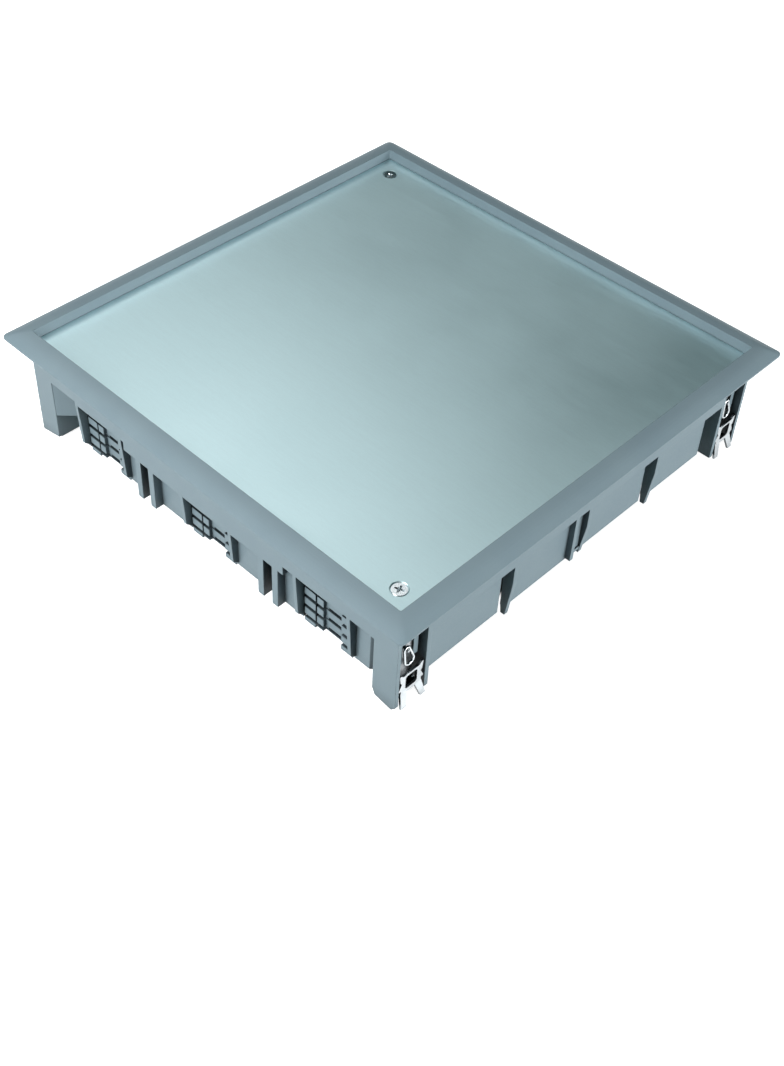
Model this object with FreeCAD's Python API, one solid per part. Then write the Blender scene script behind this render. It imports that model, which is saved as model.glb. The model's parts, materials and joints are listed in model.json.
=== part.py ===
"""Cover for a square floor box: moulded frame, recessed steel plate, gasket, screws and four corner claws.

Lengths are millimetres. +Z is up and the origin is the middle of the cover at the foot of its corner legs.
The finished floor lies at floor_z. Heights below it are written as depths and turned round by z().
Corners are named as seen from the -Y side: front is -Y, right is +X.
"""
import FreeCAD, Part
import math
import os

from FreeCAD import Vector

os.makedirs("parts", exist_ok=True)

# Levels, as depths below the finished floor
leg_depth = 57.5
wall_depth = 50.0
long_wall_depth = 49.8
plate_top_depth = 1.3
floor_z = leg_depth

# Rim that lies on the floor
rim_overhang = 9.3
rim_edge_height = 0.9
rim_inner_height = 4.2
rim_bulge = 1.1
rim_steps = 7
rim_corner_radius = 3.0
recess_wall = 1.5
recess_corner_radius = 0.8

# Skirt that drops into the floor cut-out
skirt_half = 122.7
skirt_thickness = 2.5
band_depth = 19.7
ceiling_thickness = 1.8

# Cover plate, gasket and the ledge that carries them
plate_thickness = 3.0
plate_clearance = 0.3
plate_corner_radius = 1.0
gasket_thickness = 1.0
gasket_width = 7.0
gasket_inset = 0.5
ledge_width = 10.2
ledge_corner_radius = 4.0
ledge_thickness = 2.5
gusset_leg = 28.0
gusset_thickness = 2.5

# Screws and their inserts
screw_inset = 11.8
screw_radius = 1.95
screw_head_radius = 3.75
screw_head_edge = 0.25
screw_length = 12.0
screw_sink = 0.12
cross_width = 0.95
cross_length = 4.4
cross_depth = 1.7
hole_radius = 2.3
countersink_gap = 0.08
thread_gap = 0.03
insert_radius = 2.8
insert_length = 8.0
insert_gap = 0.02
boss_radius = 4.6

# Short sides, front and rear: wall set back behind the skirt, with grid blocks and rib pairs
pattern_middle = 2.8
short_wall_setback = 4.5
wall_end_inset = 19.6
first_block_inset = 49.3
last_block_inset = 44.9
block_half = 17.3
cheek_thickness = 2.0
cheek_straight_depth = 23.0
cheek_taper_depth = 46.0
cheek_taper = 1.4
cheek_foot_depth = 48.6
outer_block_top = 21.5
middle_block_top = 27.2
pair_shift = 4.3
pair_half = 6.4
rib_thickness = 3.6
channel_depth = 12.5
channel_bottom = 47.8
recess_top = 26.6
first_step_share = 0.18
high_step_share = 0.36

# Grid in each block: rows of bars with slots between them, one column divider
slot_height = 2.2
slot_pitch = 6.25
first_slot_middle = 29.0
slot_count = 4
divider_offset = -7.2
divider_width = 1.0
step_start = -2.8
step_end = 8.1
step_setback = 1.8
bar_gap = 0.8
bar_thickness = 2.8
box_depth = 6.4
box_wall = 1.6
box_top = 24.6
left_foot_drop = 2.35
middle_foot_drop = 0.45
right_foot_drop = 2.65
bridge_start = 2.8
bridge_end = 8.9

# Long sides, left and right: smooth wall with fins
long_wall_setback = 3.0
long_band_depth = 22.0
rear_gap_width = 8.0
fin_thickness = 2.3
fin_positions = (-50.5, 51.5)
fin_straight_depth = 33.5
fin_foot_depth = 54.6
fin_foot_setback = 2.4
fin_slot_width = 4.6
middle_fin_positions = (-8.7, 0.7)
middle_fin_foot = (48.8, 51.4)
fin_link_depth = 47.0

# Corner pockets and legs
leg_width = 13.5
leg_thickness = 2.0
front_leg_inner_foot = ((0.0, 52.3), (1.7, 56.0))
front_leg_outer_foot = ((2.2, leg_depth), (0.0, 55.0))
rear_leg_inner_foot = ((0.0, 54.4),)
rear_leg_outer_foot = ((0.4, 57.1), (0.0, 56.6))
pocket_wall_depth = 54.9
pocket_width = 15.7
pocket_wall_thickness = 2.3
web_thickness = 2.2
web_leg_inset = 0.3
web_length = 19.0
web_depth = 40.5

# Claws: folded sheet, front plate and guided strap
sheet = 1.2
claw_setback = 0.5
claw_side_gap = 0.25
claw_top_depth = 38.8
claw_height = 11.6
claw_half = 5.6
horn_width = 0.9
horn_height = 1.3
horn_lean = 1.4
tooth_height = 4.4
tooth_foot = 3.0
window_half = 3.5
window_rim = 1.1
window_foot = 2.5
window_radius = 1.4
strap_half = 4.2
strap_neck_half = 3.0
strap_rise = 14.3
strap_neck_foot = 5.4
fold_radius = 1.4
toe_inner = 2.2
toe_width = 4.0
toe_splay = 2.2
toe_tip_width = 3.0
toe_reach = 2.0
toe_drop = 6.4
claw_travel = 15.0

# Guide posts for the strap, moulded on the pocket's back wall
guide_gap = 0.25
guide_lip = 1.1
guide_post = 1.6
guide_wrap = 1.4
guide_top_depth = 20.0
guide_foot_gap = 0.5

# Pull eye: a bent wire loop that hangs on a tongue of the strap
wire_radius = 0.6
eye_distance = 2.0
eye_top_rise = 13.4
eye_length = 7.8
eye_top_offset = -1.8
eye_bottom_offset = 0.1
eye_top_radius = 1.5
eye_bottom_radius = 2.6
tongue_half = 0.5
tongue_gap = 0.02

# Derived levels and positions
rim_half = skirt_half + rim_overhang
recess_half = skirt_half - recess_wall
ledge_half = recess_half - ledge_width
ledge_top_depth = plate_top_depth + plate_thickness + gasket_thickness
ledge_depth = ledge_top_depth + ledge_thickness
screw_offset = recess_half - screw_inset
short_face = skirt_half - short_wall_setback
long_face = skirt_half - long_wall_setback
leg_edge = skirt_half - leg_width
leg_inner = skirt_half - leg_thickness
pocket_end = leg_inner - pocket_width
wall_end = skirt_half - wall_end_inset
long_wall_start = pocket_wall_thickness - pocket_end
long_wall_end = pocket_end - pocket_wall_thickness - rear_gap_width
claw_face = skirt_half - claw_setback
claw_offset = (leg_inner + pocket_end) / 2
claw_reach = pocket_width / 2 - claw_side_gap
claw_bottom_depth = claw_top_depth + claw_height
fold_top_depth = claw_bottom_depth - sheet
guide_foot_depth = fold_top_depth - claw_travel - guide_foot_gap
strap_back = claw_face - 2 * sheet - 2 * fold_radius
last_slot_bottom = first_slot_middle + (slot_count - 1) * slot_pitch + slot_height / 2
left_foot_depth = last_slot_bottom + left_foot_drop
middle_foot_depth = last_slot_bottom + middle_foot_drop
right_foot_depth = last_slot_bottom + right_foot_drop
blocks = (
    (first_block_inset - skirt_half, outer_block_top),
    (pattern_middle, middle_block_top),
    (skirt_half - last_block_inset, outer_block_top),
)
pairs = (
    (blocks[0][0] + blocks[1][0]) / 2 - pair_shift,
    (blocks[1][0] + blocks[2][0]) / 2 + pair_shift,
)


def z(depth):
    """Height of a level given as a depth below the finished floor."""
    return floor_z - depth


def box(x_span, y_span, depth_span):
    """Box between two x, two y and two depths below the floor."""
    low_z = z(max(depth_span))
    size = Vector(x_span[1] - x_span[0], y_span[1] - y_span[0], abs(depth_span[1] - depth_span[0]))
    return Part.makeBox(size.x, size.y, size.z, Vector(x_span[0], y_span[0], low_z))


def prism(points, along):
    """Solid made by pushing a closed polygon of points along a vector."""
    return Part.Face(Part.makePolygon(points + points[:1])).extrude(along)


def fuse(shapes):
    return shapes[0].multiFuse(shapes[1:]).removeSplitter()


def half_turn(shape):
    """The same shape on the opposite side or corner."""
    turned = shape.copy()
    turned.rotate(Vector(0, 0, 0), Vector(0, 0, 1), 180)
    return turned


def with_opposites(shapes):
    return shapes + [half_turn(shape) for shape in shapes]


def rounded_square(half, radius, height):
    """Square wire with rounded corners at a height."""
    edges = []
    straight = half - radius
    for turn in range(4):
        angle = math.pi / 2 * turn
        ahead = Vector(math.cos(angle), math.sin(angle), 0)
        aside = Vector(-ahead.y, ahead.x, 0)
        level = Vector(0, 0, height)
        start = ahead * half - aside * straight + level
        end = ahead * half + aside * straight + level
        centre = ahead * straight + aside * straight + level
        middle = centre + (ahead + aside) * (radius / math.sqrt(2))
        after = ahead * straight + aside * half + level
        edges.append(Part.makeLine(start, end))
        edges.append(Part.Arc(end, middle, after).toShape())
    return Part.Wire(edges)


def square_plate(half, radius, depth_span):
    """Flat square slab with rounded corners between two depths."""
    low, high = z(max(depth_span)), z(min(depth_span))
    return Part.Face(rounded_square(half, radius, low)).extrude(Vector(0, 0, high - low))


def rim():
    """Ramp-shaped border that lies on the floor, with a crowned top."""
    sections = [rounded_square(rim_half, rim_corner_radius, z(0))]
    for step in range(rim_steps + 1):
        part = step / rim_steps
        half = rim_half + (recess_half - rim_half) * part
        rise = rim_edge_height + (rim_inner_height - rim_edge_height) * part
        crown = rim_bulge * math.sin(math.pi * part) * (1 - 0.35 * part)
        radius = rim_corner_radius + (recess_corner_radius - rim_corner_radius) * part
        sections.append(rounded_square(half, radius, z(0) + rise + crown))
    body = Part.makeLoft(sections, True, True)
    return body.cut(square_plate(recess_half, recess_corner_radius, (1.0, -2 * rim_inner_height)))


def skirt():
    """Recess wall, plate ledge and the outer band below them."""
    recess_wall = square_plate(skirt_half, 0.5, (0, ledge_top_depth))
    recess_wall = recess_wall.cut(square_plate(recess_half, recess_corner_radius, (-1, ledge_top_depth + 1)))
    ledge = square_plate(skirt_half, 0.5, (ledge_top_depth, ledge_depth))
    ledge = ledge.cut(square_plate(ledge_half, ledge_corner_radius, (ledge_top_depth - 1, ledge_depth + 1)))
    inner = skirt_half - skirt_thickness
    band = square_plate(skirt_half, 0.5, (ledge_depth, band_depth))
    band = band.cut(square_plate(inner, 0.5, (ledge_depth - 1, band_depth + 1)))
    return fuse([recess_wall, ledge, band])


def gusset(sign_y):
    """Triangular shelf under the ledge in a right-hand corner."""
    corner = Vector(ledge_half + 5, sign_y * (ledge_half + 5), z(ledge_depth))
    reach = gusset_leg + 5
    points = [corner, corner + Vector(-reach, 0, 0), corner + Vector(0, -sign_y * reach, 0)]
    return prism(points, Vector(0, 0, -gusset_thickness))


def boss():
    """Round boss under the front right corner for a screw insert."""
    depth = ledge_top_depth + insert_length + 1.5
    centre = Vector(screw_offset, -screw_offset, z(depth))
    return Part.makeCylinder(boss_radius, depth - ledge_top_depth, centre)


def insert_hole():
    depth = ledge_top_depth + insert_length + 2.5
    centre = Vector(screw_offset, -screw_offset, z(depth))
    return Part.makeCylinder(insert_radius + insert_gap, depth - ledge_top_depth + 1, centre)


def cheek(x_start):
    """Tapered fin at the side of a grid block, from the recessed wall out to the skirt."""
    outer = -skirt_half
    points = [
        Vector(x_start, -short_face + skirt_thickness, z(band_depth)),
        Vector(x_start, outer, z(band_depth)),
        Vector(x_start, outer, z(cheek_straight_depth)),
        Vector(x_start, outer + cheek_taper, z(cheek_taper_depth)),
        Vector(x_start, -short_face, z(cheek_foot_depth)),
        Vector(x_start, -short_face + skirt_thickness, z(wall_depth)),
    ]
    return prism(points, Vector(cheek_thickness, 0, 0))


def ceiling(x_span, top_depth):
    """Shelf that closes a recess at its top, with the skirt in front of it."""
    shelf = box(x_span, (-skirt_half, -short_face + skirt_thickness), (top_depth - ceiling_thickness, top_depth))
    front = box(x_span, (-skirt_half, -skirt_half + skirt_thickness), (band_depth - 1, top_depth))
    return shelf.fuse(front)


def short_wall():
    """Set-back wall of the front side."""
    start = blocks[0][0] - block_half
    return box((start, wall_end), (-short_face, -short_face + skirt_thickness), (band_depth - ceiling_thickness, wall_depth))


def block_cavity(middle):
    """Room behind the skirt in which the grid of one block stands."""
    span = (middle - block_half + cheek_thickness, middle + block_half - cheek_thickness)
    return box(span, (-short_face - 0.1, -short_face + skirt_thickness + 0.1), (box_top, wall_depth + 1))


def bar(middle, span, top, bottom, setback):
    """One grid bar, in front of the spines that carry it."""
    x_span = (middle + span[0], middle + span[1])
    return box(x_span, (-short_face + setback, -short_face + bar_thickness + setback / 2), (top, bottom))


def block_box(middle):
    """Shallow box behind the grid of a block: back, top and two ends."""
    back_face = -short_face + box_depth
    span = (middle - block_half, middle + block_half)
    back = box(span, (back_face - box_wall, back_face), (box_top, middle_foot_depth))
    roof = box(span, (-short_face + 0.5, back_face), (box_top - box_wall, box_top))
    ends = []
    for start in (span[0], span[1] - cheek_thickness):
        end = (start, start + cheek_thickness)
        ends.append(box(end, (-short_face + 0.5, back_face), (box_top - box_wall, middle_foot_depth)))
    return [back, roof] + ends


def grid(middle):
    """Bars, feet and spines of one block."""
    left = -block_half + cheek_thickness
    right = block_half - cheek_thickness
    half_divider = divider_width / 2
    columns = (
        (left + bar_gap, divider_offset - half_divider, 0.0, left_foot_depth),
        (divider_offset + half_divider, step_start, 0.0, middle_foot_depth),
        (step_start, step_end, step_setback, middle_foot_depth),
        (step_end, right, 0.0, right_foot_depth),
    )
    shapes = []
    for start, end, setback, foot in columns:
        for row in range(slot_count):
            top = first_slot_middle + row * slot_pitch + slot_height / 2
            bottom = top + slot_pitch - slot_height
            if row == slot_count - 1:
                bottom = foot
            shapes.append(bar(middle, (start, end), top, bottom, setback))
    top = first_slot_middle - slot_height / 2
    shapes.append(bar(middle, (bridge_start, bridge_end), top - 3, top + slot_height + 0.1, step_setback))
    for offset in (left + 2.0, divider_offset - 2.4, divider_offset + 1.2, step_start - 1.0, step_end - 1.0, right - 2.2):
        spine = (middle + offset, middle + offset + 2.0)
        reach = (-short_face + bar_thickness - 0.4, -short_face + box_depth)
        shapes.append(box(spine, reach, (box_top, middle_foot_depth)))
    return shapes


def rib_pair(middle):
    """Two ribs with a deep channel between them."""
    shapes = []
    inner = -skirt_half + channel_depth
    for side in (-1, 1):
        edge = middle + side * pair_half
        span = (min(edge, edge - side * rib_thickness), max(edge, edge - side * rib_thickness))
        shapes.append(box(span, (-skirt_half, inner), (band_depth, wall_depth)))
    back = (middle - pair_half, middle + pair_half)
    shapes.append(box(back, (inner - skirt_thickness, inner), (band_depth, channel_bottom)))
    shapes.append(box(back, (-skirt_half, inner), (recess_top - ceiling_thickness, recess_top)))
    shapes.append(box(back, (-skirt_half, -skirt_half + skirt_thickness), (band_depth - 1, recess_top)))
    return shapes


def pair_channel(middle):
    """Opening in the set-back wall between the two ribs of a pair."""
    half = pair_half - rib_thickness
    return box((middle - half, middle + half), (-short_face - 0.1, -short_face + skirt_thickness + 0.1), (recess_top, wall_depth + 1))


def short_side():
    """Everything that stands on the front side below the band."""
    first, middle, last = (block[0] for block in blocks)
    low_pair, high_pair = pairs
    wall = short_wall()
    for position in (first, middle, last):
        wall = wall.cut(block_cavity(position))
    for position in pairs:
        wall = wall.cut(pair_channel(position))
    shapes = [wall]
    for position, top in blocks:
        shapes += grid(position) + block_box(position)
        shapes.append(cheek(position - block_half))
        shapes.append(cheek(position + block_half - cheek_thickness))
        shapes.append(ceiling((position - block_half, position + block_half), top))
    for position in pairs:
        shapes += rib_pair(position)
    first_end = first + block_half
    first_gap = low_pair - pair_half - first_end
    first_step = first_step_share * first_gap
    high_end = high_pair + pair_half
    high_gap = last - block_half - high_end
    high_step = high_step_share * high_gap
    shapes.append(ceiling((first_end, first_end + first_step), outer_block_top))
    shapes.append(ceiling((first_end + first_step, low_pair - pair_half), recess_top))
    shapes.append(ceiling((low_pair + pair_half, middle - block_half), middle_block_top))
    shapes.append(ceiling((middle + block_half, high_pair - pair_half), middle_block_top))
    shapes.append(ceiling((high_end, high_end + high_step), recess_top))
    shapes.append(ceiling((high_end + high_step, last - block_half), outer_block_top))
    shapes.append(ceiling((last + block_half, leg_edge), outer_block_top))
    return shapes


def fin(y_start, foot_depth, tapered=True):
    """Fin on the right-hand wall, slanting back below its straight edge."""
    inner = long_face - skirt_thickness
    setback = fin_foot_setback if tapered else 0.0
    points = [
        Vector(inner, y_start, z(band_depth)),
        Vector(skirt_half, y_start, z(band_depth)),
        Vector(skirt_half, y_start, z(fin_straight_depth)),
        Vector(skirt_half - setback, y_start, z(foot_depth)),
        Vector(inner + 0.8, y_start, z(foot_depth)),
        Vector(inner, y_start, z(min(foot_depth, long_wall_depth) - 2)),
    ]
    return prism(points, Vector(0, fin_thickness, 0))


def long_side():
    """Wall, ceiling and fins of the right-hand side."""
    inner = long_face - skirt_thickness
    span = (long_wall_start, long_wall_end)
    wall = box((inner, long_face), span, (band_depth - ceiling_thickness, long_wall_depth))
    for position in fin_positions:
        slot = (position - fin_slot_width, position)
        wall = wall.cut(box((inner - 1, long_face + 1), slot, (long_band_depth, long_wall_depth + 1)))
    band_span = (long_wall_start, pocket_end)
    shelf = box((inner, skirt_half), band_span, (long_band_depth - ceiling_thickness, long_band_depth))
    front = box((skirt_half - skirt_thickness, skirt_half), band_span, (band_depth - 1, long_band_depth))
    shapes = [wall, shelf, front]
    for position in fin_positions:
        shapes.append(fin(position, fin_foot_depth))
    shapes.append(fin(middle_fin_positions[0], middle_fin_foot[0], tapered=False))
    shapes.append(fin(middle_fin_positions[1], middle_fin_foot[1]))
    link = (middle_fin_positions[0], middle_fin_positions[1])
    shapes.append(box((inner, long_face + 0.8), link, (fin_link_depth, middle_fin_foot[0])))
    return shapes


def leg(sign_y, inner_foot, outer_foot):
    """Corner leg in the plane of the front or rear side, right-hand end.

    The foot is given as (distance from the leg's inner or outer edge, depth) pairs.
    """
    y_start = -skirt_half if sign_y < 0 else leg_inner
    points = [Vector(skirt_half, y_start, z(ledge_depth)), Vector(leg_edge, y_start, z(ledge_depth))]
    points += [Vector(leg_edge + inset, y_start, z(depth)) for inset, depth in inner_foot]
    points += [Vector(skirt_half - inset, y_start, z(depth)) for inset, depth in outer_foot]
    return prism(points, Vector(0, leg_thickness, 0))


def pocket(sign_y):
    """Back wall, inner side wall and strap guides of a right-hand corner pocket."""
    back = (leg_edge, leg_edge + pocket_wall_thickness)
    y_outer = sign_y * (leg_inner + 0.5)
    y_inner = sign_y * (pocket_end - pocket_wall_thickness)
    y_span = (min(y_outer, y_inner), max(y_outer, y_inner))
    shapes = [box(back, y_span, (ledge_depth, pocket_wall_depth))]
    y_wall = (min(sign_y * pocket_end, y_inner), max(sign_y * pocket_end, y_inner))
    shapes.append(box((leg_edge, skirt_half), y_wall, (ledge_depth, pocket_wall_depth + 0.5)))
    middle = sign_y * claw_offset
    inner = strap_half + guide_gap
    guide_span = (guide_top_depth, guide_foot_depth)
    for side in (-1, 1):
        ends = sorted((middle + side * (inner - guide_lip), middle + side * (inner + guide_post)))
        post = box((back[0], strap_back + sheet + guide_wrap), ends, guide_span)
        groove_ends = sorted((middle, middle + side * inner))
        groove = box((strap_back - guide_gap, strap_back + sheet + guide_gap), groove_ends, (0, leg_depth))
        shapes.append(post.cut(groove))
    return shapes


def claw_room(sign_y):
    """Opening of a right-hand corner pocket through the skirt, from the ledge down."""
    y_span = sorted((sign_y * leg_inner, sign_y * pocket_end))
    return box((skirt_half - skirt_thickness - 1, skirt_half + 1), y_span, (ledge_depth, leg_depth + 1))


def chamfer_web():
    """Slanted wall from the end of the front wall to the pocket at the front right corner."""
    start = Vector(wall_end, -short_face, z(band_depth - ceiling_thickness))
    run = leg_edge + 1.0 - wall_end
    back = Vector(-web_thickness / math.sqrt(2), web_thickness / math.sqrt(2), 0)
    points = [start, start + Vector(run, run, 0), start + Vector(run, run, 0) + back, start + back]
    return prism(points, Vector(0, 0, -(wall_depth - band_depth + ceiling_thickness)))


def diagonal_web():
    """Stiffening web that runs from the rear right leg towards the middle of the frame."""
    start = Vector(leg_edge, skirt_half - web_leg_inset, z(ledge_depth))
    along = Vector(-web_length / math.sqrt(2), -web_length / math.sqrt(2), 0)
    across = Vector(web_thickness / math.sqrt(2), -web_thickness / math.sqrt(2), 0)
    points = [start, start + along, start + along + across, start + across]
    return prism(points, Vector(0, 0, ledge_depth - web_depth))


def frame():
    """The whole moulded frame."""
    sides = short_side() + long_side()
    sides.append(leg(-1, front_leg_inner_foot, front_leg_outer_foot))
    sides.append(leg(1, rear_leg_inner_foot, rear_leg_outer_foot))
    sides += pocket(-1) + pocket(1) + [gusset(-1), gusset(1)]
    sides += [boss(), chamfer_web(), diagonal_web()]
    body = fuse([rim(), skirt()] + with_opposites(sides))
    cuts = with_opposites([claw_room(-1), claw_room(1), insert_hole()])
    return body.cut(Part.makeCompound(cuts)).removeSplitter()


def plate():
    """Steel plate with two countersunk holes in opposite corners."""
    body = square_plate(recess_half - plate_clearance, plate_corner_radius, (plate_top_depth, plate_top_depth + plate_thickness))
    centre = Vector(screw_offset, -screw_offset, z(plate_top_depth + plate_thickness + 1))
    hole = Part.makeCylinder(hole_radius, plate_thickness + 2, centre)
    top_radius = screw_head_radius + screw_sink + screw_head_edge + countersink_gap
    sink_depth = top_radius - hole_radius
    low = Vector(screw_offset, -screw_offset, z(plate_top_depth + sink_depth))
    sink = Part.makeCone(hole_radius, top_radius + 1, sink_depth + 1, low)
    return body.cut(Part.makeCompound(with_opposites([hole.fuse(sink)])))


def gasket():
    """Flat seal between the ledge and the plate, cut away round the two screws."""
    outer = recess_half - gasket_inset
    depths = (plate_top_depth + plate_thickness, ledge_top_depth)
    body = square_plate(outer, 1.0, depths)
    body = body.cut(square_plate(outer - gasket_width, 3.0, (depths[0] - 1, depths[1] + 1)))
    centre = Vector(screw_offset, -screw_offset, z(ledge_top_depth + 1))
    relief = Part.makeCylinder(insert_radius + 1.2, gasket_thickness + 2, centre)
    return body.cut(Part.makeCompound(with_opposites([relief])))


def screw():
    """Countersunk screw with a cross recess, front right."""
    top = z(plate_top_depth + screw_sink)
    neck_depth = screw_head_edge + screw_head_radius - screw_radius
    profile = [
        Vector(0, 0, top),
        Vector(screw_head_radius - screw_head_edge, 0, top),
        Vector(screw_head_radius, 0, top - screw_head_edge),
        Vector(screw_radius, 0, top - neck_depth),
        Vector(screw_radius, 0, top - screw_length + 0.8),
        Vector(screw_radius - 0.7, 0, top - screw_length),
        Vector(0, 0, top - screw_length),
    ]
    body = Part.Face(Part.makePolygon(profile + profile[:1])).revolve(Vector(0, 0, 0), Vector(0, 0, 1), 360)
    recess = []
    for length, width in ((cross_length, cross_width), (cross_width, cross_length)):
        corner = Vector(-length / 2, -width / 2, top - cross_depth)
        recess.append(Part.makeBox(length, width, cross_depth + 1, corner))
    recess.append(Part.makeCone(0.5, 1.25, cross_depth + 0.1, Vector(0, 0, top - cross_depth)))
    body = body.cut(Part.makeCompound(recess[:2])).cut(recess[2])
    body.rotate(Vector(0, 0, 0), Vector(0, 0, 1), 20)
    body.translate(Vector(screw_offset, -screw_offset, 0))
    return body


def insert():
    """Brass insert in the boss under the front right corner."""
    low = z(ledge_top_depth + insert_length)
    centre = Vector(screw_offset, -screw_offset, low)
    sleeve = Part.makeCylinder(insert_radius, insert_length, centre)
    return sleeve.cut(Part.makeCylinder(screw_radius + thread_gap, insert_length + 2, centre - Vector(0, 0, 1)))


def on_claw(outward, along, depth):
    """Point of the front right claw: outward from the middle, along the side, and its depth."""
    return Vector(outward, along - claw_offset, z(depth))


def claw_outline():
    """Outline of the claw's front plate in the plane of the skirt, as (along, depth) pairs."""
    tooth_tip = claw_bottom_depth - tooth_foot
    right = [
        (claw_half - horn_width, claw_top_depth),
        (claw_half - horn_width + horn_lean, claw_top_depth - horn_height),
        (claw_half + horn_lean, claw_top_depth - horn_height),
        (claw_half + horn_width, tooth_tip - tooth_height - sheet),
        (claw_half, tooth_tip - tooth_height),
        (claw_reach, tooth_tip),
        (claw_half + horn_width / 2, tooth_tip),
        (claw_half + horn_width / 2, claw_bottom_depth),
    ]
    left = [(-along, depth) for along, depth in reversed(right)]
    return right + left


def claw_window():
    """Window of the front plate, with round corners."""
    top, bottom = claw_top_depth + window_rim, claw_bottom_depth - window_foot
    low = on_claw(claw_face - 2 * sheet, -window_half, bottom)
    body = Part.makeBox(3 * sheet, 2 * window_half, bottom - top, low)
    across = [edge for edge in body.Edges if abs(edge.tangentAt(edge.FirstParameter).x) > 0.9]
    return body.makeFillet(window_radius, across)


def toe(side):
    """Tongue bent outward and to one side below the front plate."""
    root_depth, tip_depth = claw_bottom_depth - sheet, claw_bottom_depth + toe_drop
    tip = toe_inner + toe_splay
    outline = [
        on_claw(claw_face, side * toe_inner, root_depth),
        on_claw(claw_face, side * (toe_inner + toe_width), root_depth),
        on_claw(claw_face + toe_reach, side * (tip + toe_tip_width), tip_depth),
        on_claw(claw_face + toe_reach, side * tip, tip_depth),
    ]
    normal = (outline[1] - outline[0]).cross(outline[2] - outline[1]).normalize()
    return prism(outline, normal * sheet * (1 if normal.x < 0 else -1))


def fold():
    """Half-round fold, as wide as the front plate, that joins its foot to the strap."""
    depth = fold_top_depth
    centre = on_claw(claw_face - sheet - fold_radius, -claw_half, depth)
    across = Vector(0, 1, 0)
    outer = Part.makeCylinder(fold_radius + sheet, 2 * claw_half, centre, across)
    inner = Part.makeCylinder(fold_radius, 2 * claw_half, centre, across)
    upper = Part.makeBox(3 * claw_height, 3 * claw_height, claw_height)
    upper.translate(on_claw(strap_back - claw_height, -claw_height, depth))
    return outer.cut(inner).cut(upper)


def tongue():
    """Tongue bent forward from the top of the strap, on which the pull eye hangs."""
    inner_radius = eye_top_radius - wire_radius - tongue_gap
    rise = math.sqrt(inner_radius ** 2 - tongue_half ** 2)
    depth = eye_top_depth() - rise
    low = on_claw(strap_back, eye_top_offset - tongue_half, depth + sheet)
    return Part.makeBox(sheet + eye_distance + 2 * wire_radius, 2 * tongue_half, sheet, low)


def eye_top_depth():
    """Depth of the centre of the pull eye's upper bend."""
    return claw_top_depth - eye_top_rise


def claw():
    """Front right claw: plate with a window, horns and teeth, two toes, bottom fold and guided strap."""
    back = claw_face - sheet
    front = prism([on_claw(back, along, depth) for along, depth in claw_outline()], Vector(sheet, 0, 0))
    front = front.cut(claw_window())
    top = claw_top_depth - strap_rise
    neck = (-claw_offset - strap_neck_half, -claw_offset + strap_neck_half)
    wide = (-claw_offset - strap_half, -claw_offset + strap_half)
    strap_span = (strap_back, strap_back + sheet)
    neck_strap = box(strap_span, neck, (top, fold_top_depth))
    wide_strap = box(strap_span, wide, (top, claw_bottom_depth - strap_neck_foot))
    return fuse([front, fold(), neck_strap, wide_strap, tongue(), toe(-1), toe(1)])


def bend(centre, radius, start, end):
    """Arc of wire round a centre between two unit directions square to X."""
    first, last = math.atan2(start.z, start.y), math.atan2(end.z, end.y)
    sweep = (last - first) % (2 * math.pi)
    ring = Part.makeTorus(radius, wire_radius, Vector(0, 0, 0), Vector(0, 0, 1), -180, 180, math.degrees(sweep))
    ring.rotate(Vector(0, 0, 0), Vector(0, 0, 1), math.degrees(first))
    ring.rotate(Vector(0, 0, 0), Vector(1, 1, 1), 120)
    ring.translate(centre)
    return ring


def claw_eye():
    """Front right pull eye: closed wire loop, narrow at the top and wide at the bottom."""
    outward = strap_back + sheet + eye_distance
    top = on_claw(outward, eye_top_offset, eye_top_depth())
    low = on_claw(outward, eye_bottom_offset, eye_top_depth() + eye_length)
    distance = (low - top).Length
    down = (low - top).normalize()
    aside = Vector(1, 0, 0).cross(down)
    lean = (eye_bottom_radius - eye_top_radius) / distance
    square = math.sqrt(1 - lean ** 2)
    sides = [aside * square - down * lean, aside * -square - down * lean]
    straight = distance * square
    shapes = []
    for side in sides:
        start = top + side * eye_top_radius
        run = (low + side * eye_bottom_radius) - start
        shapes.append(Part.makeCylinder(wire_radius, straight, start, run))
    shapes.append(bend(top, eye_top_radius, sides[0], sides[1]))
    shapes.append(bend(low, eye_bottom_radius, sides[1], sides[0]))
    return fuse(shapes)


def at_rear(shape):
    """The same piece, not mirrored, in the rear corner of the same side."""
    moved = shape.copy()
    moved.translate(Vector(0, 2 * claw_offset, 0))
    return moved


def export(name, shape):
    shape.exportStep("parts/" + name + ".step")
    print(name, "valid", shape.isValid(), "solids", len(shape.Solids), "volume", round(shape.Volume, 1))


def at_corners(name, shape):
    """Writes one piece for each of the four corners."""
    rear = at_rear(shape)
    export(name + "_front_right", shape)
    export(name + "_rear_right", rear)
    export(name + "_rear_left", half_turn(shape))
    export(name + "_front_left", half_turn(rear))


export("frame", frame())
export("cover_plate", plate())
export("gasket", gasket())
export("screw_front", screw())
export("screw_rear", half_turn(screw()))
export("insert_front", insert())
export("insert_rear", half_turn(insert()))
at_corners("claw", claw())
at_corners("pull_eye", claw_eye())
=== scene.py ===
"""Looks of the floor box cover: moulded plastic, zinc-coated sheet, fasteners, light, floor and camera.

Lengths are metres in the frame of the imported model: +Z up, origin at the foot of the legs.
Colours are linear. Noise scales are counted to the metre.
"""

import json
import math

import bpy
from mathutils import Matrix, Vector


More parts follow.
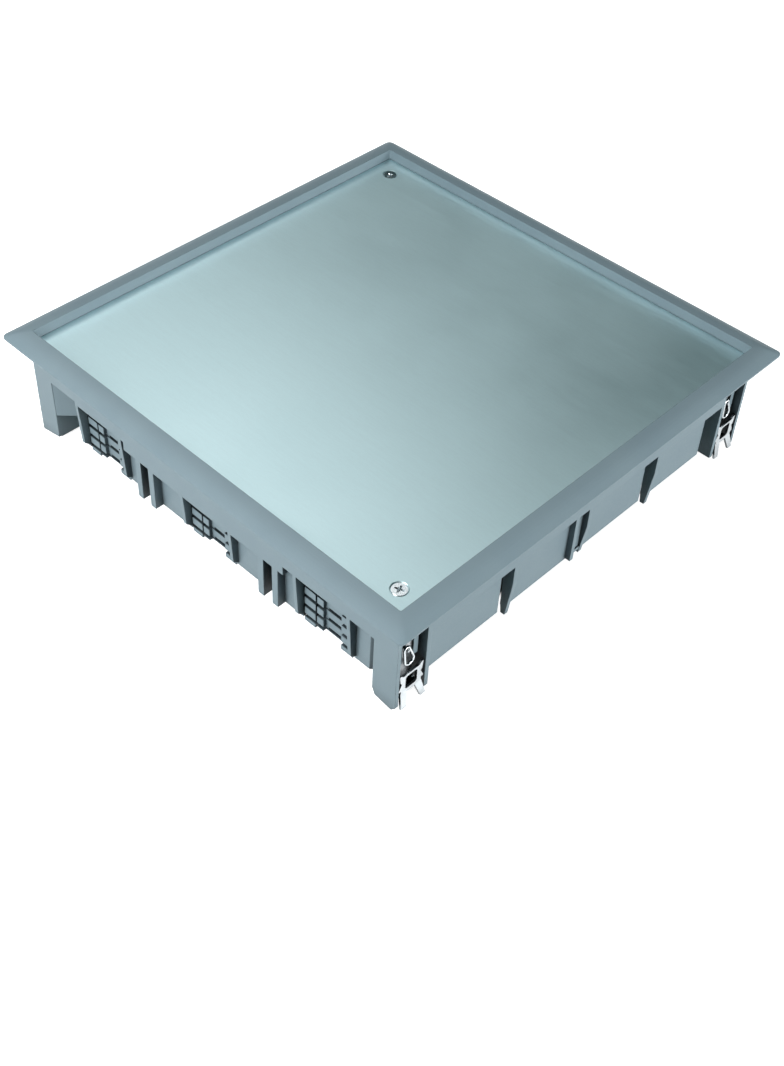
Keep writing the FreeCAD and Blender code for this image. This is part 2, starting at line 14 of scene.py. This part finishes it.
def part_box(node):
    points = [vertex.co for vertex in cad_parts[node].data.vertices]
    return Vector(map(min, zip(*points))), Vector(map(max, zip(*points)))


# Camera, as fitted to the picture of 784 by 1066 pixels: angles in degrees, lens and sensor in millimetres
camera_place = (0.3690, -0.4051, 0.4903)
camera_turn = 43.19
camera_tilt = 43.38
camera_roll = 2.41
camera_lens = 66.86
camera_sensor = 36
camera_shift = (0.0261, -0.0746)
camera_near = 0.01

# Usual range of a noise
noise_low = 0.3
noise_high = 0.7

# Frame: grey plastic with faint clouds, a fine grain and slightly rounded edges
plastic_dark = (0.190, 0.254, 0.288)
plastic_light = (0.206, 0.272, 0.304)
plastic_clouds = 38
plastic_grains = 1500
plastic_grain_depth = 0.0002
plastic_grain_strength = 0.10
plastic_edge_radius = 0.0004
plastic_roughness = (0.42, 0.54)
plastic_specular = 0.22

# Plate: zinc coating with streaks drawn out along X, and faint clouds that change only its roughness
plate_dark = (0.572, 0.731, 0.759)
plate_light = (0.596, 0.760, 0.788)
plate_streaks = (60, 900, 900)
plate_fine_streaks = (400, 2200, 2200)
plate_clouds = 14
plate_streak_depth = 0.0002
plate_streak_strength = 0.12
plate_roughness = (0.41, 0.49)
plate_cloud_roughness = (-0.03, 0.03)

# Bright zinc of the screws, the claws and the wire, with duller spots and a fine grain
screw_colour = (0.66, 0.70, 0.72)
screw_roughness = 0.22
claw_colour = (0.53, 0.56, 0.58)
claw_roughness = 0.30
wire_colour = screw_colour
wire_roughness = 0.20
zinc_dull_share = 0.84
zinc_spots = 160
zinc_spot_roughness = (-0.05, 0.07)
zinc_grains = 900
zinc_grain_depth = 0.0001
zinc_grain_strength = 0.15

# Brass of the inserts
brass_colour = (0.62, 0.44, 0.17)
brass_dull_share = 0.8
brass_marks = 600
brass_roughness = (0.28, 0.42)

# Foam of the gasket
foam_colour = (0.018, 0.018, 0.020)
foam_bright_share = 1.8
foam_cells = 1800
foam_cell_depth = 0.0003
foam_cell_strength = 0.5
foam_roughness = 0.9

# Painted shade in recesses: its colours, the distance it looks over, and the open share where it is full or
# ends
plastic_painted_shade = (0.016, 0.023, 0.027)
zinc_painted_shade = (0.05, 0.06, 0.065)
shade_distance = 0.020
shade_full = 0.25
shade_none = 0.70

# The walls beside the plate have no such painted shade: it fades out and ends a little below the plate
shade_drop = 0.0012
shade_fade = 0.004

# Samples of the painted shade and of the rounded edges
shade_samples = 8
edge_samples = 4

# Floor: a large pale square with an even glow, just below the object's feet
floor_colour = (0.95, 0.95, 0.95)
floor_dull_share = 0.985
floor_clouds = 3
floor_roughness = 0.85
floor_glow = 0.88
floor_half = 8.0
floor_gap = 0.0002

# Painted shadow on the floor under the object: it ends this far inside the rim's edge, and turns pale over
# this width
floor_painted_shadow = (0.02, 0.02, 0.02)
shadow_inset = 0.0235
shadow_fade = 0.002

# Dim sky
sky_colour = (0.42, 0.95, 1.0)
sky_strength = 0.068

# Point that the soft boxes are aimed at
aim_point = (0.0, 0.0, 0.04)

# White with its alpha, for glows
white = (1, 1, 1, 1)


def new_material(name):
    """Empty node material with an output and a principled shader."""
    material = bpy.data.materials.new(name)
    material.use_nodes = True
    tree = material.node_tree
    tree.nodes.clear()
    output = tree.nodes.new("ShaderNodeOutputMaterial")
    shader = tree.nodes.new("ShaderNodeBsdfPrincipled")
    tree.links.new(shader.outputs["BSDF"], output.inputs["Surface"])
    return material, tree, shader


def scaled(colour, share):
    """A colour with its parts multiplied by a share."""
    return tuple(share * part for part in colour)


def object_space(tree, scale=(1, 1, 1)):
    """Object coordinates stretched by a scale for each axis."""
    coordinates = tree.nodes.new("ShaderNodeTexCoord")
    mapping = tree.nodes.new("ShaderNodeMapping")
    mapping.inputs["Scale"].default_value = scale
    tree.links.new(coordinates.outputs["Object"], mapping.inputs["Vector"])
    return mapping.outputs["Vector"]


def noise(tree, space, scale, detail):
    """Cloudy noise from 0 to 1."""
    node = tree.nodes.new("ShaderNodeTexNoise")
    node.inputs["Scale"].default_value = scale
    node.inputs["Detail"].default_value = detail
    tree.links.new(space, node.inputs["Vector"])
    return node.outputs["Fac"]


def ramp(tree, factor, first, last, start=noise_low, end=noise_high):
    """Colour that goes from the first to the last while the factor goes from start to end."""
    node = tree.nodes.new("ShaderNodeValToRGB")
    node.color_ramp.elements[0].position = start
    node.color_ramp.elements[0].color = (*first, 1)
    node.color_ramp.elements[1].position = end
    node.color_ramp.elements[1].color = (*last, 1)
    tree.links.new(factor, node.inputs["Fac"])
    return node.outputs["Color"]


def spread(tree, factor, first, last, start=noise_low, end=noise_high):
    """Value that goes from the first to the last while the factor goes from start to end."""
    node = tree.nodes.new("ShaderNodeMapRange")
    node.inputs["From Min"].default_value = start
    node.inputs["From Max"].default_value = end
    node.inputs["To Min"].default_value = first
    node.inputs["To Max"].default_value = last
    tree.links.new(factor, node.inputs["Value"])
    return node.outputs["Result"]


def bump(tree, height, strength, depth, normal=None):
    """Normal of a surface that is uneven by a height."""
    node = tree.nodes.new("ShaderNodeBump")
    node.inputs["Strength"].default_value = strength
    node.inputs["Distance"].default_value = depth
    tree.links.new(height, node.inputs["Height"])
    if normal is not None:
        tree.links.new(normal, node.inputs["Normal"])
    return node.outputs["Normal"]


def rounded_edges(tree):
    """Normal that is rounded at the frame's edges."""
    node = tree.nodes.new("ShaderNodeBevel")
    node.samples = edge_samples
    node.inputs["Radius"].default_value = plastic_edge_radius
    return node.outputs["Normal"]


def combine(tree, operation, first, second):
    """Two values joined by a math operation."""
    node = tree.nodes.new("ShaderNodeMath")
    node.operation = operation
    tree.links.new(first, node.inputs[0])
    tree.links.new(second, node.inputs[1])
    return node.outputs["Value"]


def mean(tree, first, second):
    """Half of each of two values."""
    node = tree.nodes.new("ShaderNodeMix")
    node.data_type = "FLOAT"
    node.inputs["Factor"].default_value = 0.5
    tree.links.new(first, node.inputs["A"])
    tree.links.new(second, node.inputs["B"])
    return node.outputs["Result"]


def blend(tree, factor, colour, other):
    """Fades a colour into a fixed other one."""
    node = tree.nodes.new("ShaderNodeMix")
    node.data_type = "RGBA"
    tree.links.new(factor, node.inputs["Factor"])
    tree.links.new(colour, node.inputs["A"])
    node.inputs["B"].default_value = (*other, 1)
    return node.outputs["Result"]


def split(tree, vector):
    """The X, Y and Z of a vector."""
    node = tree.nodes.new("ShaderNodeSeparateXYZ")
    tree.links.new(vector, node.inputs["Vector"])
    return node.outputs


def painted_recess_shade(tree):
    """Share of painted shade, from ambient occlusion: 1 deep in a recess, 0 in the open."""
    node = tree.nodes.new("ShaderNodeAmbientOcclusion")
    node.samples = shade_samples
    node.inputs["Distance"].default_value = shade_distance
    return spread(tree, node.outputs["AO"], first=1.0, last=0.0, start=shade_full, end=shade_none)


def below_plate(tree, space):
    """Mask for the painted shade: 1 well below the plate, 0 from a little below it upwards."""
    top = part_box("cover_plate")[0].z - shade_drop
    height = split(tree, space)["Z"]
    return spread(tree, height, first=1.0, last=0.0, start=top - shade_fade, end=top)


def frame_plastic():
    """Grey moulded plastic, with shade painted dark into its colour in recesses below the plate."""
    material, tree, shader = new_material("frame_plastic")
    space = object_space(tree)
    clouds = noise(tree, space, plastic_clouds, detail=4)
    grains = noise(tree, space, plastic_grains, detail=2)
    colour = ramp(tree, clouds, plastic_dark, plastic_light, start=0.30, end=0.72)
    # Painted shade: how far the colour is darkened in recesses below the plate
    depth = combine(tree, "MULTIPLY", painted_recess_shade(tree), below_plate(tree, space))
    normal = bump(tree, grains, plastic_grain_strength, plastic_grain_depth, rounded_edges(tree))
    tree.links.new(blend(tree, depth, colour, plastic_painted_shade), shader.inputs["Base Color"])
    tree.links.new(spread(tree, grains, *plastic_roughness), shader.inputs["Roughness"])
    tree.links.new(normal, shader.inputs["Normal"])
    shader.inputs["Specular IOR Level"].default_value = plastic_specular
    return material


def plate_steel():
    """Zinc-coated rolled sheet."""
    material, tree, shader = new_material("plate_steel")
    coarse = noise(tree, object_space(tree, plate_streaks), scale=1.0, detail=3)
    fine = noise(tree, object_space(tree, plate_fine_streaks), scale=1.0, detail=2)
    clouds = noise(tree, object_space(tree), plate_clouds, detail=4)
    streaks = mean(tree, coarse, fine)
    colour = ramp(tree, streaks, plate_dark, plate_light, start=0.36, end=0.62)
    streak_roughness = spread(tree, streaks, *plate_roughness)
    cloud_roughness = spread(tree, clouds, *plate_cloud_roughness)
    roughness = combine(tree, "ADD", streak_roughness, cloud_roughness)
    tree.links.new(colour, shader.inputs["Base Color"])
    tree.links.new(roughness, shader.inputs["Roughness"])
    tree.links.new(bump(tree, streaks, plate_streak_strength, plate_streak_depth), shader.inputs["Normal"])
    shader.inputs["Metallic"].default_value = 1.0
    return material


def bright_zinc(name, bright, roughness, shade_colour=None):
    """Bright zinc on small steel parts with, if a shade colour is given, shade painted into its colour in
    recesses.
    """
    material, tree, shader = new_material(name)
    space = object_space(tree)
    spots = noise(tree, space, zinc_spots, detail=2)
    grains = noise(tree, space, zinc_grains, detail=2)
    colour = ramp(tree, spots, scaled(bright, zinc_dull_share), bright, start=0.3, end=0.6)
    if shade_colour is not None:
        # Painted shade: the colour turns dark in recesses
        colour = blend(tree, painted_recess_shade(tree), colour, shade_colour)
    smoother, rougher = zinc_spot_roughness
    uneven = spread(tree, spots, roughness + smoother, roughness + rougher)
    tree.links.new(colour, shader.inputs["Base Color"])
    tree.links.new(uneven, shader.inputs["Roughness"])
    tree.links.new(bump(tree, grains, zinc_grain_strength, zinc_grain_depth), shader.inputs["Normal"])
    shader.inputs["Metallic"].default_value = 1.0
    return material


def brass():
    """Brass with faint marks."""
    material, tree, shader = new_material("insert_brass")
    marks = noise(tree, object_space(tree), brass_marks, detail=3)
    colour = ramp(tree, marks, scaled(brass_colour, brass_dull_share), brass_colour)
    tree.links.new(colour, shader.inputs["Base Color"])
    tree.links.new(spread(tree, marks, *brass_roughness), shader.inputs["Roughness"])
    shader.inputs["Metallic"].default_value = 1.0
    return material


def foam():
    """Closed-cell sealing foam."""
    material, tree, shader = new_material("seal")
    cells = noise(tree, object_space(tree), foam_cells, detail=2)
    colour = ramp(tree, cells, foam_colour, scaled(foam_colour, foam_bright_share), start=0.35, end=0.65)
    tree.links.new(colour, shader.inputs["Base Color"])
    tree.links.new(bump(tree, cells, foam_cell_strength, foam_cell_depth), shader.inputs["Normal"])
    shader.inputs["Roughness"].default_value = foam_roughness
    return material


def dress(frame):
    """Gives every node of the model its material."""
    materials = {
        "frame_plastic": frame_plastic(),
        "plate_steel": plate_steel(),
        "seal": foam(),
        "screw_steel": bright_zinc("screw_steel", screw_colour, screw_roughness),
        "insert_brass": brass(),
        "claw_steel": bright_zinc("claw_steel", claw_colour, claw_roughness, zinc_painted_shade),
        "wire": bright_zinc("wire", wire_colour, wire_roughness, zinc_painted_shade),
    }
    slots = {part["node"]: part["material_slot"] for part in frame["record"]["subparts"]}
    for name, piece in frame["nodes"].items():
        for slot in piece.material_slots:
            slot.material = materials[slots[name]]


def square_reach(tree):
    """Distance from the middle along X or Y, whichever is more, so that it is even round a square."""
    sizes = tree.nodes.new("ShaderNodeVectorMath")
    sizes.operation = "ABSOLUTE"
    tree.links.new(object_space(tree), sizes.inputs[0])
    reach = split(tree, sizes.outputs["Vector"])
    return combine(tree, "MAXIMUM", reach["X"], reach["Y"])


def floor_shader():
    """Pale floor with an even glow, and a painted shadow under the object where it would only be lit from
    the sides: there the glow ends and the colour turns dark.
    """
    material, tree, shader = new_material("floor")
    clouds = noise(tree, object_space(tree), floor_clouds, detail=2)
    pale = ramp(tree, clouds, scaled(floor_colour, floor_dull_share), floor_colour)
    reach = square_reach(tree)
    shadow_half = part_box("frame")[1].x - shadow_inset
    pale_half = shadow_half + shadow_fade
    # Painted shadow: 1 under the object, 0 outside it
    painted_shadow = spread(tree, reach, first=1.0, last=0.0, start=shadow_half, end=pale_half)
    glow = spread(tree, reach, first=0.0, last=floor_glow, start=shadow_half, end=pale_half)
    tree.links.new(blend(tree, painted_shadow, pale, floor_painted_shadow), shader.inputs["Base Color"])
    tree.links.new(glow, shader.inputs["Emission Strength"])
    shader.inputs["Emission Color"].default_value = white
    shader.inputs["Roughness"].default_value = floor_roughness
    return material


def floor():
    """Plain square floor. It sends no diffuse light back, so that recesses stay dark."""
    corners = [(-1, -1), (1, -1), (1, 1), (-1, 1)]
    points = [(x * floor_half, y * floor_half, -floor_gap) for x, y in corners]
    mesh = bpy.data.meshes.new("floor")
    mesh.from_pydata(points, [], [(0, 1, 2, 3)])
    piece = bpy.data.objects.new("floor", mesh)
    bpy.context.scene.collection.objects.link(piece)
    piece.data.materials.append(floor_shader())
    piece.visible_diffuse = False


def direction(turn, rise):
    """Unit vector to a compass side, where 0 is the front and 90 the right, and a height, in degrees."""
    side, height = math.radians(turn), math.radians(rise)
    return Vector((math.sin(side) * math.cos(height), -math.cos(side) * math.cos(height), math.sin(height)))


def soft_box(name, turn, rise, distance, size, power):
    """Area light aimed at the object."""
    light = bpy.data.lights.new(name, "AREA")
    light.shape = "RECTANGLE"
    light.size, light.size_y = size
    light.energy = power
    lamp = bpy.data.objects.new(name, light)
    away = direction(turn, rise)
    lamp.location = Vector(aim_point) + away * distance
    lamp.rotation_euler = (-away).to_track_quat("-Z", "Y").to_euler()
    bpy.context.scene.collection.objects.link(lamp)
    return lamp


def lights():
    """Soft boxes: a high one at the left, low ones at the front and the right, a weak fill behind."""
    soft_box("plate", turn=-103, rise=63, distance=1.5, size=(1.2, 1.2), power=9.4)
    soft_box("front", turn=-2, rise=25, distance=0.69, size=(0.36, 0.36), power=4.9)
    soft_box("right", turn=98, rise=8, distance=2.0, size=(1.2, 0.35), power=39)
    fill = soft_box("fill", turn=-135, rise=5, distance=2.0, size=(1.6, 0.3), power=14)
    fill.visible_glossy = False


def sky():
    """Dim sky for the light. The camera sees a pale one, with the floor's own glow."""
    world = bpy.data.worlds.new("studio")
    bpy.context.scene.world = world
    world.use_nodes = True
    tree = world.node_tree
    dim = tree.nodes["Background"]
    dim.inputs["Color"].default_value = (*sky_colour, 1)
    dim.inputs["Strength"].default_value = sky_strength
    pale = tree.nodes.new("ShaderNodeBackground")
    pale.inputs["Color"].default_value = white
    pale.inputs["Strength"].default_value = floor_glow
    rays = tree.nodes.new("ShaderNodeLightPath")
    mix = tree.nodes.new("ShaderNodeMixShader")
    factor, unseen, seen = mix.inputs
    tree.links.new(rays.outputs["Is Camera Ray"], factor)
    tree.links.new(dim.outputs["Background"], unseen)
    tree.links.new(pale.outputs["Background"], seen)
    tree.links.new(mix.outputs["Shader"], tree.nodes["World Output"].inputs["Surface"])


def camera():
    """Camera at the picture's angle."""
    back = direction(camera_turn, camera_tilt)
    right = direction(camera_turn + 90, rise=0)
    up = back.cross(right)
    turned = Matrix((right, up, back)).transposed() @ Matrix.Rotation(math.radians(camera_roll), 3, "Z")
    data = bpy.data.cameras.new("camera")
    data.sensor_fit = "HORIZONTAL"
    data.sensor_width = camera_sensor
    data.lens = camera_lens
    data.shift_x, data.shift_y = camera_shift
    data.clip_start = camera_near
    eye = bpy.data.objects.new("camera", data)
    eye.matrix_world = Matrix.Translation(camera_place) @ turned.to_4x4()
    bpy.context.scene.collection.objects.link(eye)
    bpy.context.scene.camera = eye


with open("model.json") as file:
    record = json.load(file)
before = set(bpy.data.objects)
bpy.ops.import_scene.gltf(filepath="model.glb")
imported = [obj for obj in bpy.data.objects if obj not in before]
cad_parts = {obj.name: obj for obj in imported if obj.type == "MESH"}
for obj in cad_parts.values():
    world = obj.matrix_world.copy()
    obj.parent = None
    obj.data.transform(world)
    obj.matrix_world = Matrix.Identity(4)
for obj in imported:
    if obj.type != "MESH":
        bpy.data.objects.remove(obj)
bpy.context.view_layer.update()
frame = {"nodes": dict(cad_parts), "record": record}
bpy.context.scene.view_settings.view_transform = "Standard"
dress(frame)
floor()
lights()
sky()
camera()
